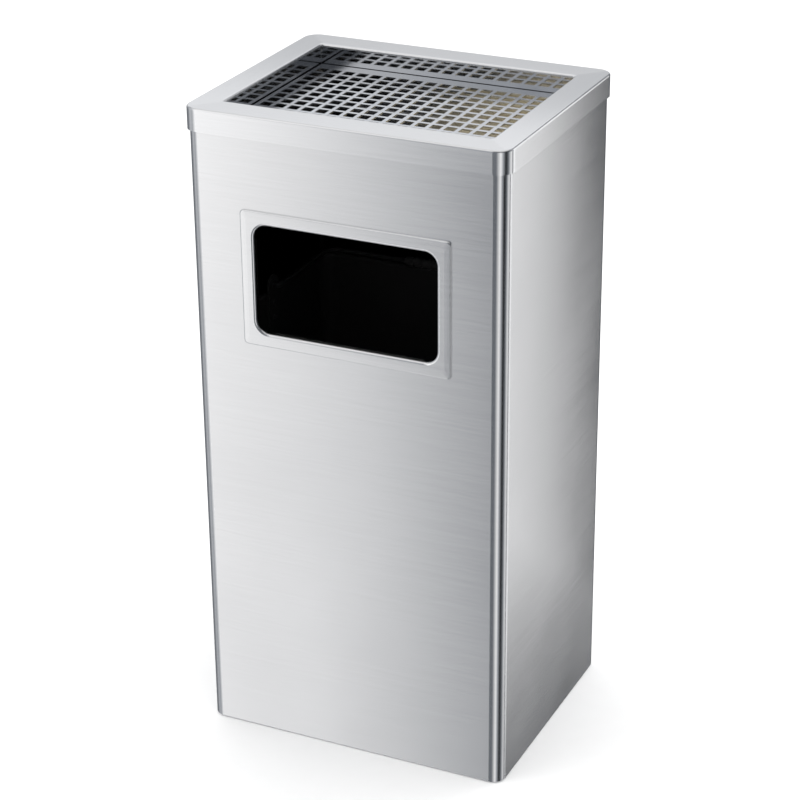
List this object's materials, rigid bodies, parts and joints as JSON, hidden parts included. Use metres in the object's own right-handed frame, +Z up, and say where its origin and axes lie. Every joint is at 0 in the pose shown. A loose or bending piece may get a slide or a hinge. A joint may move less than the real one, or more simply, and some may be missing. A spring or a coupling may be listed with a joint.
{
  "type": "litter bin",
  "caption": "Rectangular free-standing litter bin with a front opening, a lift-off lid, an ash tray under a perforated grate and an inner bucket with a wire bail.",
  "frame": {"origin": "centre of the footprint, on the floor under the rubber feet", "axes": "+Z up; the litter opening faces -Y; +X is to the right when facing the opening"},
  "size_m": [0.3046, 0.2466, 0.61],
  "materials": {
    "brushed_shell": "brushed stainless, grain running round the body",
    "brushed_lid": "fine brushed stainless, grain along each side",
    "brushed_trim": "fine brushed stainless",
    "polished_steel": "mirror-polished stainless",
    "polished_tray": "drawn stainless, half bright",
    "grate_steel": "bright stainless, punched",
    "mill_steel": "mill finish",
    "galvanised_steel": "galvanised",
    "black_liner": "matt black coating",
    "bail_wire": "black coated wire",
    "grip_plastic": "moulded, matt",
    "foot_rubber": "moulded rubber",
    "zinc_fasteners": "zinc plated"
  },
  "bodies": {
    "shell": {"body_shell": "brushed_shell", "seam_strip": "black_liner", "opening_bezel": "brushed_trim", "bezel_backing": "black_liner", "base_pan": "galvanised_steel", "foot_front_left": "foot_rubber", "foot_front_right": "foot_rubber", "foot_back_left": "foot_rubber", "foot_back_right": "foot_rubber", "foot_screws": "zinc_fasteners", "foot_washers": "zinc_fasteners", "foot_nuts": "zinc_fasteners"},
    "liner": {"liner_wall": "black_liner", "liner_floor": "black_liner", "rim_wire": "mill_steel", "bail_ear_left": "black_liner", "bail_ear_right": "black_liner", "ear_rivets": "black_liner"},
    "bail": {"bail_handle": "bail_wire", "bail_grip": "grip_plastic"},
    "lid": {"lid_cap": "brushed_lid", "well_frame": "polished_steel"},
    "ash_tray": {"ash_tray": "polished_tray"},
    "ash_grate": {"ash_grate": "grate_steel"}
  },
  "joints": [
    {"name": "liner_lift", "type": "slide", "parent": "shell", "child": "liner", "axis": [0, 0, 1], "range_m": [0, 0.61]},
    {"name": "bail_swing", "type": "hinge", "parent": "liner", "child": "bail", "pos_m": [0, 0, 0.403], "axis": [1, 0, 0], "range_deg": [0, 180]},
    {"name": "lid_lift", "type": "slide", "parent": "liner", "child": "lid", "axis": [0, 0, 1], "range_m": [0, 0.1]},
    {"name": "tray_lift", "type": "slide", "parent": "lid", "child": "ash_tray", "axis": [0, 0, 1], "range_m": [0, 0.075]},
    {"name": "grate_lift", "type": "slide", "parent": "ash_tray", "child": "ash_grate", "axis": [0, 0, 1], "range_m": [0, 0.05]}
  ]
}
